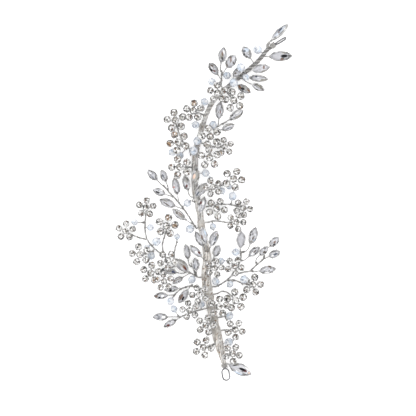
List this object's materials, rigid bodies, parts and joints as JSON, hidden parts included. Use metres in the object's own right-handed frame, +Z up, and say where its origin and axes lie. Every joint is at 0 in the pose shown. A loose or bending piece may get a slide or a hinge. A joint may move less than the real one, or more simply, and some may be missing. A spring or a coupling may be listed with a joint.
{
  "type": "hair vine",
  "caption": "Bridal hair vine: wound wire stem with a pin loop at each end, and twisted side wires with navette leaves, stone flowers and drilled beads.",
  "frame": {"origin": "centre of the bounding box in plan, on the floor it lies on", "axes": "+Y along the vine from the lower pin loop to the top leaf, +X across it to the viewer's right, +Z up out of its face"},
  "size_m": [0.0982, 0.1973, 0.0163],
  "materials": {
    "wire": "silver-plated twisted craft wire",
    "stem_wire": "bundle of plated strands, warm grey",
    "settings": "bright rhodium-plated claw settings",
    "leaf_stones": "foil-backed faceted navettes",
    "round_stones": "foil-backed faceted round stones",
    "beads": "faceted pale crystal beads with a faint blue coat"
  },
  "bodies": {
    "root": {"stem": "stem_wire", "lower_pin_loop": "wire", "upper_pin_loop": "wire", "end_bindings": "wire", "leaf_settings": "settings", "flower_settings": "settings", "flower_stones": "round_stones", "beads": "beads", "spray_top_left": "wire", "spray_high_left": "wire", "spray_high_right": "wire", "spray_upper_right": "wire", "spray_mid_right": "wire", "spray_waist_right": "wire", "spray_hip_right": "wire", "spray_low_right": "wire", "spray_foot_right": "wire", "spray_leg_right": "wire", "spray_mid_left": "wire", "spray_low_left": "wire", "spray_hip_left": "wire", "spray_foot_left": "wire", "small_leaf_stones": "leaf_stones", "leaf_stone_01": "leaf_stones", "leaf_stone_02": "leaf_stones", "leaf_stone_03": "leaf_stones", "leaf_stone_04": "leaf_stones", "leaf_stone_05": "leaf_stones", "leaf_stone_06": "leaf_stones", "leaf_stone_07": "leaf_stones", "leaf_stone_09": "leaf_stones", "leaf_stone_10": "leaf_stones", "leaf_stone_11": "leaf_stones", "leaf_stone_12": "leaf_stones", "leaf_stone_13": "leaf_stones", "leaf_stone_14": "leaf_stones", "leaf_stone_15": "leaf_stones", "leaf_stone_16": "leaf_stones", "leaf_stone_17": "leaf_stones", "leaf_stone_18": "leaf_stones", "leaf_stone_19": "leaf_stones", "leaf_stone_20": "leaf_stones", "leaf_stone_21": "leaf_stones", "leaf_stone_22": "leaf_stones", "leaf_stone_23": "leaf_stones", "leaf_stone_24": "leaf_stones", "leaf_stone_25": "leaf_stones", "leaf_stone_26": "leaf_stones", "leaf_stone_27": "leaf_stones", "leaf_stone_28": "leaf_stones", "leaf_stone_29": "leaf_stones", "leaf_stone_30": "leaf_stones", "leaf_stone_31": "leaf_stones", "leaf_stone_32": "leaf_stones", "leaf_stone_33": "leaf_stones", "leaf_stone_34": "leaf_stones", "leaf_stone_35": "leaf_stones", "leaf_stone_36": "leaf_stones", "leaf_stone_37": "leaf_stones", "leaf_stone_08": "leaf_stones"}
  },
  "joints": []
}
